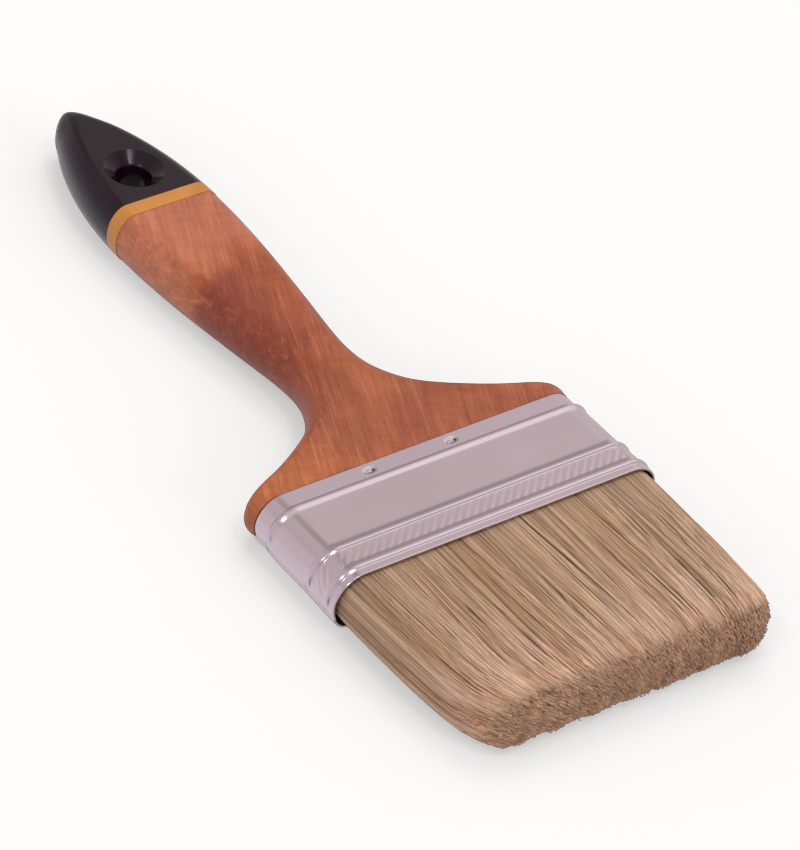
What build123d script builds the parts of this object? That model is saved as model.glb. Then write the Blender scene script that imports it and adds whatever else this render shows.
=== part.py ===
from build123d import *
import os
import math

# Flat wall brush, nominal width 100 mm (a 4 inch brush), lying on its back.
#
# X runs across the width, Y runs along the brush with +Y toward the handle's
# tip, and Z is the thickness, with the front face up.  The origin is under
# the middle of the whole brush, on the surface that it lies on.
#
# Lengths along the brush are given as h, the distance from the ferrule's open
# mouth toward the handle, and turned into Y with y_at(h).

# ---------------------------------------------------------- main dimensions
WIDTH = 100.0            # ferrule, across the plain middle panel
THICK = 15.8             # ferrule, plain middle panel
FERRULE_LEN = 34.9       # mouth to wood edge
FREE_LEN = 55.0          # bristles, mouth to trimmed end
HANDLE_LEN = 158.1       # handle, visible length above the ferrule
TENON_LEN = 17.4         # handle, hidden length inside the ferrule

SHEET = 0.35             # plated steel strip
BEAD_MAX = 0.75          # lip bead's height above the middle panel
COLLAR_STEP = 0.5        # the collar's drop below the middle panel

TOTAL = FREE_LEN + FERRULE_LEN + HANDLE_LEN
MOUTH_Y = -TOTAL / 2 + FREE_LEN
MID_Z = THICK / 2 + BEAD_MAX           # height of the mid plane
ROUND_X = WIDTH / 2 - THICK / 2        # centre of the ferrule's round ends
COLLAR_Z = THICK / 2 - COLLAR_STEP     # collar's outer face, from the mid plane
TENON_START = FERRULE_LEN - TENON_LEN

# cutting slabs reach past the brush on every side
REACH_X = 60.0
REACH_Z = 20.0
PAST_BRISTLES = -80.0
PAST_FERRULE = 60.0
PAST_HANDLE = 260.0


# ------------------------------------------------------------ shared helpers
def y_at(h):
    return MOUTH_Y + h


def plane_at(h):
    """Plane across the brush at distance h from the mouth, normal toward +Y."""
    return Plane(origin=(0, y_at(h), MID_Z), x_dir=(-1, 0, 0), z_dir=(0, 1, 0))


def stadium(half_w, half_t, h0, h1):
    """Bar with full-round sides, from h0 to h1 along the brush."""
    face = plane_at(h0) * SlotOverall(2 * half_w, 2 * half_t)
    return extrude(face, amount=h1 - h0)


def slab(h0, h1, z0=-REACH_Z, z1=REACH_Z, half_w=REACH_X):
    """Box centred across the brush; z0 and z1 are measured from the mid plane."""
    centre = Pos(0, y_at((h0 + h1) / 2), MID_Z + (z0 + z1) / 2)
    return centre * Box(2 * half_w, h1 - h0, z1 - z0)


# --------------------------------------------------------------------- nails
NAIL_X = (-17.4, 8.2)    # places across the width, same on both faces
NAIL_H = 32.0            # distance from the mouth
NAIL_LEN = 6.0           # shank and point
NAIL_SHANK_R = 0.6
NAIL_POINT_LEN = 1.4
NAIL_POINT_R = 0.08      # blunt end of the point
NAIL_HEAD_R = 1.25
NAIL_HEAD_T = 0.45
NAIL_HEAD_FILLET = 0.3
NAIL_SINK = 0.55         # the head's seat, below the collar's face
DISH_R = 2.0             # dish round each nail, at the collar's face
DISH_DEEP = 0.6


def make_nails():
    """One nail on each face at each place."""
    seat_z = COLLAR_Z - NAIL_SINK
    shank_len = NAIL_LEN - NAIL_POINT_LEN
    shank = Pos(0, 0, seat_z - shank_len / 2) * Cylinder(NAIL_SHANK_R, shank_len)
    point = Cone(NAIL_POINT_R, NAIL_SHANK_R, NAIL_POINT_LEN)
    point = Pos(0, 0, seat_z - NAIL_LEN + NAIL_POINT_LEN / 2) * point
    head = Pos(0, 0, seat_z + NAIL_HEAD_T / 2) * Cylinder(NAIL_HEAD_R, NAIL_HEAD_T)
    top_edge = head.edges().filter_by(GeomType.CIRCLE).sort_by(Axis.Z)[-1:]
    head = fillet(top_edge, NAIL_HEAD_FILLET)
    nail = shank + point + head
    placed = []
    for x in NAIL_X:
        place = Pos(x, y_at(NAIL_H), MID_Z)
        placed.append(place * nail)
        placed.append(place * (Rot(0, 180, 0) * nail))
    return placed


def make_dishes():
    """Pairs of spheres for the dishes: the strip's outer and inner surface."""
    radius = (DISH_R**2 + DISH_DEEP**2) / (2 * DISH_DEEP)
    pairs = []
    for x in NAIL_X:
        for face in (1, -1):
            z = MID_Z + face * (COLLAR_Z - DISH_DEEP + radius)
            centre = Pos(x, y_at(NAIL_H), z)
            pairs.append((centre * Sphere(radius), centre * Sphere(radius + SHEET)))
    return pairs


# ------------------------------------------------------------------- ferrule
# Outer outline of the strip, as (h, height above the middle panel).  Three
# rolled beads stiffen it: one close to the mouth, one farther up, and one
# where the panel steps in to the wood.  Straight lines join the beads.
MOUTH_POINT = (0, 0.35)
BEADS = (                # start, crest, end
    ((1.5, 0.35), (2.5, BEAD_MAX), (3.5, 0.25)),
    ((9.3, 0.4), (10.4, 0.72), (11.6, 0.0)),
    ((27.3, 0.0), (28.3, 0.42), (29.4, -COLLAR_STEP)),
)
COLLAR_POINT = (FERRULE_LEN, -COLLAR_STEP)

LAP_START = 28.0         # lap seam, degrees round the -X side from the back
LAP_ARC = 34.0


def strip_profile(shift):
    """Closed strip section in the Y-Z plane, above the mid plane, shifted outward."""
    def point(place, inward=0.0):
        h, height = place
        return (0, y_at(h), MID_Z + THICK / 2 + height - inward + shift)

    outer = []
    last = MOUTH_POINT
    for start, crest, end in BEADS:
        outer.append(Line(point(last), point(start)))
        outer.append(ThreePointArc(point(start), point(crest), point(end)))
        last = end
    outer.append(Line(point(last), point(COLLAR_POINT)))
    inner = [edge.moved(Location((0, 0, -SHEET))) for edge in outer]
    collar_end = Line(point(COLLAR_POINT), point(COLLAR_POINT, SHEET))
    mouth_end = Line(point(MOUTH_POINT, SHEET), point(MOUTH_POINT))
    return make_face(Wire(outer + [collar_end] + inner + [mouth_end]))


def turn(shape, angle):
    """Turn about the brush's long middle axis."""
    return Pos(0, 0, MID_Z) * (Rot(0, angle, 0) * (Pos(0, 0, -MID_Z) * shape))


def round_end(profile, side, start=0.0, arc=180.0):
    """Profile swept round the narrow side at +X (side 1) or -X (side -1)."""
    axis = Axis((0, y_at(0), MID_Z), (0, 1, 0))
    swept = revolve(profile, axis=axis, revolution_arc=arc)
    # the sweep runs from +Z through +X to -Z; half a turn suits the -X side
    half_turn = 0.0 if side > 0 else 180.0
    return Pos(side * ROUND_X, 0, 0) * turn(swept, half_turn + start)


def make_ferrule(nails, dishes):
    strip = strip_profile(0.0)
    front = Pos(-ROUND_X, 0, 0) * extrude(strip, amount=2 * ROUND_X, dir=(1, 0, 0))
    back = turn(front, 180)
    ferrule = front + back + round_end(strip, 1) + round_end(strip, -1)
    # lap seam: the strip's other end lies over the first
    ferrule = ferrule + round_end(strip_profile(SHEET), -1, start=LAP_START, arc=LAP_ARC)
    # driving the nails dishes the strip into the wood
    within_collar = slab(0, PAST_FERRULE, -COLLAR_Z, COLLAR_Z)
    for hollow, dished in dishes:
        ferrule = (ferrule - hollow) + ((dished - hollow) & within_collar)
    for nail in nails:
        ferrule = ferrule - nail
    return ferrule


# -------------------------------------------------------------------- handle
FILM = 0.2                        # lacquer film
RING_LO, RING_HI = 144.0, 148.4   # coloured ring, from the mouth
TENON_OVERLAP = 0.3               # the tenon runs this far into the handle
SIDE_FILL = 0.95                  # rounded side's height / half thickness
END_STATIONS = 157.0              # stations past this also grow lengthwise

# distance above the ferrule, half width, thickness, and how far the rounded
# side reaches in from the edge
HANDLE_STATIONS = [
    (0.0, 49.65, 14.30, 6.90), (1.8, 49.85, 14.34, 6.92), (3.2, 49.85, 14.36, 6.93),
    (4.3, 49.40, 14.39, 6.94), (5.3, 48.35, 14.41, 6.94), (6.4, 46.40, 14.43, 6.95),
    (8.0, 42.55, 14.46, 6.97), (10.0, 37.85, 14.50, 6.98), (12.8, 32.30, 14.54, 7.00),
    (16.6, 25.61, 14.59, 7.00), (22.1, 18.17, 14.66, 7.00), (28.5, 13.30, 14.71, 6.93),
    (35.0, 10.73, 14.73, 6.80), (42.7, 10.11, 14.75, 6.65), (50.6, 10.76, 14.77, 6.38),
    (60.1, 12.05, 14.80, 6.00), (69.6, 13.28, 14.80, 5.74), (80.6, 14.60, 14.80, 5.45),
    (91.7, 15.57, 14.80, 5.20), (102.7, 16.11, 14.80, 5.16), (111.0, 16.10, 14.80, 5.14),
    (118.0, 15.69, 14.80, 5.12), (126.0, 14.68, 14.80, 5.10), (134.0, 12.93, 14.80, 5.07),
    (140.7, 10.88, 14.70, 5.06), (146.5, 8.60, 14.30, 5.04), (151.0, 6.50, 13.40, 5.03),
    (154.3, 4.90, 12.10, 4.56), (156.4, 3.38, 10.30, 3.14), (157.5, 1.97, 8.40, 1.83),
    (157.9, 1.00, 7.00, 0.93),
]

HOLE_H = 160.7           # hanging hole's centre, from the mouth
HOLE_R = 4.6             # lacquered radius
HOLE_RIM_R = 8.2         # the funnel's crisp rim at both faces
HOLE_WALL = 4.3          # half length of the straight wall
HOLE_ROUND = 1.2         # rounding from the funnel into the straight wall
HOLE_FACE = 7.6          # half thickness of the finished handle at the hole
ROUND_REACH_R = 0.488    # nominal reach of the rounding, outward from the wall
ROUND_REACH_Z = 0.965    # and toward the face; these two set the funnel's tilt
HOLE_OVERRUN = 0.6       # the cutter runs on past the face


def oval_face(half_w, half_t, side_w, side_t):
    """Section with flat faces and elliptical sides."""
    cx, cz = half_w - side_w, half_t - side_t
    return make_face(Wire([
        Line((-cx, half_t), (cx, half_t)),
        EllipticalCenterArc((cx, cz), side_w, side_t, 0, arc_size=90),
        Line((half_w, cz), (half_w, -cz)),
        EllipticalCenterArc((cx, -cz), side_w, side_t, 270, arc_size=90),
        Line((cx, -half_t), (-cx, -half_t)),
        EllipticalCenterArc((-cx, -cz), side_w, side_t, 180, arc_size=90),
        Line((-half_w, -cz), (-half_w, cz)),
        EllipticalCenterArc((-cx, cz), side_w, side_t, 90, arc_size=90),
    ]))


def handle_body(grow):
    faces = []
    for above, half_w, thick, side_w in HANDLE_STATIONS:
        half_t = thick / 2 + grow
        h = FERRULE_LEN + above + (grow if above > END_STATIONS else 0.0)
        face = oval_face(half_w + grow, half_t, side_w + grow, SIDE_FILL * half_t)
        faces.append(plane_at(h) * face)
    return loft(faces)


def hanging_hole(grow):
    """Through hole with a conical funnel at both faces, rounded into the wall."""
    radius, rim = HOLE_R + grow, HOLE_RIM_R + grow
    # tilt of the cone's side, from the face
    tilt = math.atan2(HOLE_FACE - HOLE_WALL - ROUND_REACH_Z, rim - radius - ROUND_REACH_R)

    def on_rounding(angle):
        return (radius + HOLE_ROUND - HOLE_ROUND * math.cos(angle), 0,
                HOLE_WALL + HOLE_ROUND * math.sin(angle))

    end_angle = math.pi / 2 - tilt
    top_z = HOLE_FACE + HOLE_OVERRUN
    middle = (0, 0, 0)
    wall_foot = (radius, 0, 0)
    wall_top = (radius, 0, HOLE_WALL)
    cone_foot = on_rounding(end_angle)
    cone_top = (cone_foot[0] + (top_z - cone_foot[2]) / math.tan(tilt), 0, top_z)
    axis_top = (0, 0, top_z)
    half = revolve(make_face(Wire([
        Line(middle, wall_foot),
        Line(wall_foot, wall_top),
        ThreePointArc(wall_top, on_rounding(end_angle / 2), cone_foot),
        Line(cone_foot, cone_top),
        Line(cone_top, axis_top),
        Line(axis_top, middle),
    ])), axis=Axis.Z)
    both = half + mirror(half, about=Plane.XY)
    return Pos(0, y_at(HOLE_H), MID_Z) * both


def make_handle(nails, dishes):
    """The wooden handle with its tenon, the ring's lacquer and the tip's lacquer."""
    solid_wood = handle_body(0.0)
    coated = handle_body(FILM)
    wood = solid_wood - hanging_hole(FILM)

    ring = (coated & slab(RING_LO, RING_HI)) - solid_wood
    tip = (coated & slab(RING_HI, PAST_HANDLE)) - hanging_hole(0.0)
    tip = tip - wood

    # the tenon fills the ferrule's collar and stops on the setting compound
    inset = COLLAR_STEP + SHEET
    tenon = stadium(WIDTH / 2 - inset, THICK / 2 - inset,
                    TENON_START, FERRULE_LEN + TENON_OVERLAP)
    handle = wood + tenon
    for _, dished in dishes:
        handle = handle - dished
    for nail in nails:
        handle = handle - nail
    return handle, ring, tip


# ------------------------------------------------------------------ bristles
PIVOT_H = -1.5           # bending axis of the bristles, just out of the mouth
BRISTLE_R = 7.3          # half thickness of the bundle at the mouth
BRISTLE_END_X = 49.3     # half width of the bundle at the mouth
TIP_HALF_W = 44.6        # half width before the trimmed end
TIP_HALF_T = 7.7         # half thickness before the trimmed end
TRIM_W = 3.6             # the trimmed end narrows by this on each side
TRIM_T = 2.6             # and thins by this on each face
TRIM_CORNER = 0.7        # corner radius / half thickness at the trimmed end
LAYER_GAP = 0.05         # from the mid plane to each layer
HEAD_OVERLAP = 0.4       # the rounded head runs this far into the shaft

ROOT_LO, ROOT_HI = 1.3, 15.0      # the bristles' glued ends
TURN_CLEARANCE = 0.12             # between the free bristles and the roots

# distance from the bending axis, half width, half thickness, and the corner
# radius as a share of the half thickness
BRISTLE_STATIONS = (
    (0.0, BRISTLE_END_X, BRISTLE_R, 0.99),
    (12.0, BRISTLE_END_X - 0.8, BRISTLE_R + 0.1, 0.95),
    (30.0, 47.2, BRISTLE_R + 0.25, 0.90),
    (44.0, TIP_HALF_W + 0.9, TIP_HALF_T, 0.85),
    (49.5, TIP_HALF_W, TIP_HALF_T, 0.80),
)


def turning_bar(radius):
    """Round bar with ball ends about the bending axis: it turns inside its own outline."""
    end_x = BRISTLE_END_X - BRISTLE_R
    bar = Rot(0, 90, 0) * Cylinder(radius, 2 * end_x)
    bar = bar + Pos(end_x, 0, 0) * Sphere(radius) + Pos(-end_x, 0, 0) * Sphere(radius)
    return Pos(0, y_at(PIVOT_H), MID_Z) * bar


def bristle_section(run, half_w, half_t, corner):
    plane = Plane(origin=(0, y_at(PIVOT_H - run), MID_Z), x_dir=(1, 0, 0), z_dir=(0, -1, 0))
    return plane * RectangleRounded(2 * half_w, 2 * half_t, corner * half_t)


def layers(shape):
    """The front and back layers of a bundle, on either side of the mid plane."""
    front = shape & slab(PAST_BRISTLES, PAST_FERRULE, LAYER_GAP, REACH_Z)
    back = shape & slab(PAST_BRISTLES, PAST_FERRULE, -REACH_Z, -LAYER_GAP)
    return front, back


def make_bristles():
    shaft = loft([bristle_section(*station) for station in BRISTLE_STATIONS])
    end = loft([
        bristle_section(*BRISTLE_STATIONS[-1]),
        bristle_section(FREE_LEN + PIVOT_H, TIP_HALF_W - TRIM_W, TIP_HALF_T - TRIM_T,
                        TRIM_CORNER),
    ], ruled=True)
    # rounded upper end, so that the bundle can turn about its axis
    head_limits = slab(PIVOT_H - HEAD_OVERLAP, PIVOT_H + BRISTLE_R + 1)
    head = turning_bar(BRISTLE_R) & head_limits
    return layers(shaft + end + head)


def make_roots(plug):
    # concave relief that the free bristles turn in
    relief = turning_bar(BRISTLE_R + TURN_CLEARANCE)
    root = stadium(BRISTLE_END_X, BRISTLE_R, ROOT_LO, ROOT_HI) - relief
    return [layer - plug for layer in layers(root)]


# ------------------------------------------------- plug and setting compound
PLUG_HALF_W = 44.0       # wooden spacer between the two bristle layers
PLUG_HALF_T = 2.6
PLUG_LO, PLUG_HI = 8.2, TENON_START
PLUG_FILLET = 1.0
EPOXY_LO, EPOXY_HI = 9.0, TENON_START
EPOXY_CLEARANCE = 0.02   # to the ferrule's inner face


def make_plug():
    plug = slab(PLUG_LO, PLUG_HI, -PLUG_HALF_T, PLUG_HALF_T, PLUG_HALF_W)
    return fillet(plug.edges().filter_by(Axis.Y), PLUG_FILLET)


def make_epoxy(plug, roots):
    inset = SHEET + EPOXY_CLEARANCE
    epoxy = stadium(WIDTH / 2 - inset, THICK / 2 - inset, EPOXY_LO, EPOXY_HI) - plug
    for root in roots:
        epoxy = epoxy - root
    return epoxy


# --------------------------------------------------------------------- build
nails = make_nails()
dishes = make_dishes()
handle, ring, tip = make_handle(nails, dishes)
ferrule = make_ferrule(nails, dishes)
plug = make_plug()
roots = make_roots(plug)
bristles = make_bristles()

parts = {
    "handle": handle,
    "handle_ring_lacquer": ring,
    "handle_tip_lacquer": tip,
    "ferrule": ferrule,
    "ferrule_nails": Compound(children=nails),
    "spacer_plug": plug,
    "epoxy_setting": make_epoxy(plug, roots),
    "bristle_roots_front": roots[0],
    "bristle_roots_back": roots[1],
    "bristles_front": bristles[0],
    "bristles_back": bristles[1],
}
os.makedirs("parts", exist_ok=True)
for name, shape in parts.items():
    export_step(shape, "parts/" + name + ".step")
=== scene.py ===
"""Flat paint brush: wooden handle, plated ferrule with nails, natural bristles.

The handle points toward +Y and the bristles toward -Y. The width runs along X
(left is -X), the thickness along Z (front is +Z). Lengths are in millimetres
until they reach Blender; shader coordinates are in metres.
"""
import math

import bpy
import numpy as np
from mathutils import Matrix, Vector


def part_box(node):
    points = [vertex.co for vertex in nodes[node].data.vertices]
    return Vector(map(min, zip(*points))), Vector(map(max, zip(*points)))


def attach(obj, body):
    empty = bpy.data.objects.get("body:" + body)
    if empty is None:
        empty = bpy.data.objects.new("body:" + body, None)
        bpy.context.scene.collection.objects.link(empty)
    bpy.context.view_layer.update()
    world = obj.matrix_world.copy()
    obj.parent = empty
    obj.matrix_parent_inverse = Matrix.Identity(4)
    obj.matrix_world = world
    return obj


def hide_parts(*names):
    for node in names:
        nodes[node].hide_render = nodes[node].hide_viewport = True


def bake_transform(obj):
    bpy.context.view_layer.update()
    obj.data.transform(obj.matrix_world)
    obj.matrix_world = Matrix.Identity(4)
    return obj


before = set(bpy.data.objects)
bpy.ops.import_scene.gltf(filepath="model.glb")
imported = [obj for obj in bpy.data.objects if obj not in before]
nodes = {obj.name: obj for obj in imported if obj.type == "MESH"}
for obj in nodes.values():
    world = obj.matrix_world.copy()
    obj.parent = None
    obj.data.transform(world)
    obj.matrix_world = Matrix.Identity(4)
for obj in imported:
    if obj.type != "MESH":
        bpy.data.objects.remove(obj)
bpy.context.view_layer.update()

MM = 0.001                                # metres in a millimetre

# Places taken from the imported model
ferrule_low, ferrule_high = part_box("ferrule")
MOUTH = ferrule_low.y / MM                # the ferrule's open end
MID_Z = (ferrule_low.z + ferrule_high.z) / 2 / MM
nails_low, nails_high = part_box("ferrule_nails")
PACKED_NAIL_R = 1.25
NAIL_XS = (nails_low.x / MM + PACKED_NAIL_R, nails_high.x / MM - PACKED_NAIL_R)
NAIL_H = (nails_low.y + nails_high.y) / 2 / MM - MOUTH      # height above the mouth

# The ferrule's middle panel: two flats joined by round ends
HALF_T = 7.9                              # half thickness, and radius of the ends
CAP_X = 50.0 - HALF_T                     # centre of the round ends

scene = bpy.context.scene
scene.view_settings.view_transform = "Standard"
scene.view_settings.look = "None"
scene.view_settings.exposure = 0.0
scene.view_settings.gamma = 1.0
scene.cycles.use_denoising = True
scene.cycles.max_bounces = 8


# ------------------------------------------------------------------ helpers
def smooth(start, end, x):
    """Smoothstep from 0 at start to 1 at end; start may be the larger."""
    t = np.clip((x - start) / (end - start), 0, 1)
    return t * t * (3 - 2 * t)


def mesh_object(name, verts_mm, quads, tris=(), shade_smooth=True):
    """Mesh object from arrays, positions in mm."""
    verts = np.ascontiguousarray(np.asarray(verts_mm, np.float64) * MM, np.float32)
    mesh = bpy.data.meshes.new(name)
    quad_count, tri_count = len(quads), len(tris)
    mesh.vertices.add(len(verts))
    mesh.vertices.foreach_set("co", verts.ravel())
    loops = np.concatenate([np.asarray(faces, np.int32).ravel() for faces in (quads, tris)])
    mesh.loops.add(len(loops))
    mesh.loops.foreach_set("vertex_index", loops)
    mesh.polygons.add(quad_count + tri_count)
    starts = np.concatenate([np.arange(quad_count) * 4,
                             quad_count * 4 + np.arange(tri_count) * 3])
    mesh.polygons.foreach_set("loop_start", starts.astype(np.int32))
    mesh.update(calc_edges=True)
    mesh.validate()
    if shade_smooth:
        mesh.polygons.foreach_set("use_smooth", np.ones(quad_count + tri_count, bool))
    return link_object(name, mesh)


def link_object(name, data):
    ob = bpy.data.objects.new(name, data)
    scene.collection.objects.link(ob)
    return ob


def paint(ob, material):
    if len(ob.material_slots):
        for slot in ob.material_slots:
            slot.material = material
    else:
        ob.data.materials.append(material)


def rgba(colour):
    """Opaque colour from a grey level or an RGB triple."""
    if isinstance(colour, (int, float)):
        colour = (colour, colour, colour)
    return (*colour, 1.0)


def srgb(*levels):
    """Linear colour from 0-255 sRGB levels."""
    return tuple((v / 255 / 12.92) if v <= 10 else ((v / 255 + 0.055) / 1.055) ** 2.4
                 for v in levels)


def scaled(colour, factor):
    return tuple(min(1, v * factor) for v in colour)


class Shader:
    """Short helpers for building a node tree."""

    def __init__(self, owner):
        self.owner = owner
        owner.use_nodes = True
        self.tree = owner.node_tree
        self.tree.nodes.clear()

    def feed(self, socket, value):
        if isinstance(value, bpy.types.NodeSocket):
            self.tree.links.new(value, socket)
        else:
            socket.default_value = rgba(value) if socket.type == "RGBA" else value

    def node(self, kind, inputs=None, **settings):
        node = self.tree.nodes.new("ShaderNode" + kind)
        for key, value in settings.items():
            setattr(node, key, value)
        for key, value in (inputs or {}).items():
            self.feed(node.inputs[key], value)
        return node

    def ease(self, value, start, end, low=0.0, high=1.0):
        """Smoothstep from low at start to high at end."""
        return self.node("MapRange", {"Value": value, "From Min": start, "From Max": end,
                                      "To Min": low, "To Max": high},
                         interpolation_type="SMOOTHSTEP").outputs[0]

    def mix(self, factor, a, b, blend="MIX"):
        return self.node("Mix", {0: factor, 6: a, 7: b},
                         data_type="RGBA", blend_type=blend).outputs[2]


class Material(Shader):
    """A material round one Principled shader, textured in object space."""

    def __init__(self, name):
        super().__init__(bpy.data.materials.new(name))
        output = self.node("OutputMaterial")
        self.surface = self.node("BsdfPrincipled")
        self.feed(output.inputs[0], self.surface.outputs[0])
        self.coord = None

    def set(self, **inputs):
        for key, value in inputs.items():
            self.feed(self.surface.inputs[key.replace("_", " ")], value)
        return self.owner

    def mapping(self, vector, x=1.0, y=1.0, turn=0.0, shift=(0, 0, 0)):
        """Coordinates scaled by x and y, turned about Z and shifted."""
        return self.node("Mapping", {"Vector": vector, "Scale": (x, y, 1.0),
                                     "Rotation": (0, 0, turn), "Location": shift}).outputs[0]

    def pos(self, **mapping):
        if self.coord is None:
            self.coord = self.node("TexCoord").outputs["Object"]
        return self.mapping(self.coord, **mapping)

    def slant(self, turn, x=1.0, y=1.0):
        """Position turned first and scaled after, for a slanted grain."""
        return self.mapping(self.pos(turn=turn), x=x, y=y)

    def noise(self, vector, scale, detail=2.0, rough=0.5, warp=0.0):
        return self.node("TexNoise", {"Vector": vector, "Scale": scale, "Detail": detail,
                                      "Roughness": rough, "Distortion": warp}).outputs["Fac"]

    def spots(self, vector, scale, rim, core, channel, above):
        """Round spots, full inside core, in the cells whose random channel is above a limit."""
        cells = self.node("TexVoronoi", {"Vector": vector, "Scale": scale}).outputs
        near = self.ease(cells["Distance"], start=rim, end=core)
        chosen = self.math("GREATER_THAN", self.xyz(cells["Color"])[channel], above)
        return self.mul(near, chosen)

    def ramp(self, factor, stops):
        node = self.node("ValToRGB", {0: factor})
        elements = node.color_ramp.elements
        while len(elements) > 1:
            elements.remove(elements[-1])
        elements[0].position = stops[0][0]
        elements[0].color = rgba(stops[0][1])
        for position, colour in stops[1:]:
            elements.new(position).color = rgba(colour)
        return node.outputs[0]

    def math(self, operation, a, b):
        return self.node("Math", {0: a, 1: b}, operation=operation).outputs[0]

    def add(self, a, b):
        return self.math("ADD", a, b)

    def sub(self, a, b):
        return self.math("SUBTRACT", a, b)

    def mul(self, a, b):
        return self.math("MULTIPLY", a, b)

    def cover(self, base, colour, mask, strength):
        """Lay a colour over the base where the mask is set."""
        return self.mix(self.mul(mask, strength), base, colour)

    def modulate(self, base, factor, strength, stops):
        """Multiply the base by a ramp of grey levels."""
        return self.mix(strength, base, self.ramp(factor, stops), "MULTIPLY")

    def xyz(self, vector=None):
        vector = self.pos() if vector is None else vector
        return self.node("SeparateXYZ", {0: vector}).outputs

    def bump(self, height, strength, distance):
        return self.node("Bump", {"Strength": strength, "Distance": distance,
                                  "Height": height}).outputs[0]


# --------------------------------------------------------------- materials
def wood_material():
    """Stained and varnished wood, the grain along Y and a little aslant."""
    mat = Material("varnished_wood")
    x, y = mat.xyz()[:2]
    # slow stain blotches, stretched along the handle
    blotch = mat.noise(mat.slant(turn=0.42, y=0.5), scale=80.0, detail=4.0, rough=0.6, warp=0.6)
    patch = mat.noise(mat.pos(y=0.8, shift=(0.3, 0.1, 0)), scale=30.0, detail=1.5)
    ragged = mat.noise(mat.pos(y=0.45, shift=(0.2, 0, 0)), scale=120.0, detail=3.0,
                       rough=0.62, warp=0.3)
    # grain lines of three widths
    grain = mat.noise(mat.slant(turn=0.42, y=0.045), scale=1250.0, detail=3.0,
                      rough=0.62, warp=0.2)
    wide = mat.noise(mat.slant(turn=0.44, y=0.09), scale=420.0, detail=3.0,
                     rough=0.55, warp=0.5)
    fleck = mat.noise(mat.slant(turn=0.40, y=0.22), scale=2700.0, detail=1.0)
    # faint ripples across the grain
    figure = mat.noise(mat.slant(turn=0.42, x=0.25), scale=520.0, rough=0.55, warp=0.4)
    base = mat.ramp(blotch, [(0.30, srgb(140, 66, 42)), (0.44, srgb(158, 80, 50)),
                             (0.56, srgb(172, 92, 56)), (0.70, srgb(186, 104, 62))])
    warm = mat.ramp(patch, [(0.35, srgb(150, 72, 48)), (0.5, srgb(170, 90, 56)),
                            (0.68, srgb(188, 104, 56))])
    base = mat.mix(0.4, base, warm)

    def wobble(width):
        return mat.mul(mat.sub(ragged, 0.5), width)

    # paler toward the +Y end, with a ragged slanting edge
    edge_y = mat.sub(mat.add(y, wobble(0.017)), mat.mul(x, 0.35))
    pale = mat.ease(edge_y, start=0.0445, end=0.0575)
    base = mat.cover(base, srgb(183, 112, 84), pale, strength=0.80)
    # a darker stretch below it, most on the left
    dark = mat.mul(mat.ease(edge_y, start=0.050, end=0.042),
                   mat.ease(edge_y, start=-0.020, end=0.020))
    side = mat.ease(mat.add(x, wobble(0.012)), start=0.008, end=-0.010)
    dark = mat.mul(dark, mat.add(mat.mul(side, 0.55), 0.35))
    base = mat.mix(dark, base, srgb(126, 56, 38))
    # warmer toward the left shoulder
    shoulder = mat.mul(mat.ease(mat.add(x, wobble(0.02)), start=-0.012, end=-0.034),
                       mat.ease(y, start=-0.012, end=-0.026))
    base = mat.cover(base, srgb(196, 108, 56), shoulder, strength=0.55)
    base = mat.modulate(base, grain, strength=0.85,
                        stops=[(0.33, 0.78), (0.5, 1.0), (0.68, 1.10)])
    base = mat.modulate(base, wide, strength=0.8,
                        stops=[(0.34, 0.86), (0.5, 1.0), (0.66, 1.08)])
    base = mat.modulate(base, fleck,
                        strength=mat.ease(pale, start=0.0, end=1.0, low=0.55, high=0.25),
                        stops=[(0.33, 0.76), (0.44, 1.0), (0.60, 1.0), (0.68, 1.12)])
    base = mat.modulate(base, figure, strength=0.8,
                        stops=[(0.34, 0.90), (0.5, 1.0), (0.66, 1.07)])
    # fine pale streaks along the grain: partly grain, partly painted sheen
    streak = mat.mul(mat.ease(grain, start=0.48, end=0.66), mat.ease(wide, start=0.40, end=0.62))
    base = mat.cover(base, srgb(212, 154, 136), streak, strength=0.17)
    # a few pale nicks in the varnish
    nicks = mat.spots(mat.pos(y=0.42, turn=0.6, shift=(0.013, 0.004, 0)), scale=58.0,
                      rim=0.026, core=0.010, channel=0, above=0.80)
    base = mat.cover(base, srgb(226, 176, 152), nicks, strength=0.8)
    height = mat.add(mat.mul(grain, 0.5), mat.mul(blotch, 1.5))
    height = mat.sub(height, mat.mul(nicks, 1.2))
    base = mat.mix(1.0, base, (0.97, 0.955, 0.84), "MULTIPLY")
    # the broad part is a little duller than the grip
    broad = mat.ease(y, start=0.012, end=-0.012)
    base = mat.mix(broad, base, mat.mix(1.0, base, (0.86, 0.93, 1.02), "MULTIPLY"))
    return mat.set(Base_Color=base, Specular_IOR_Level=0.34,
                   Roughness=mat.ease(grain, start=0.3, end=0.7, low=0.40, high=0.54),
                   Normal=mat.bump(height, strength=0.22, distance=0.00012))


def raw_wood_material():
    mat = Material("raw_wood")
    grain = mat.noise(mat.pos(x=0.06), scale=900.0, detail=3.0, rough=0.6, warp=0.3)
    base = mat.ramp(grain, [(0.3, srgb(176, 136, 92)), (0.6, srgb(211, 175, 128))])
    return mat.set(Base_Color=base, Roughness=0.75,
                   Normal=mat.bump(grain, strength=0.3, distance=0.0002))


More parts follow.
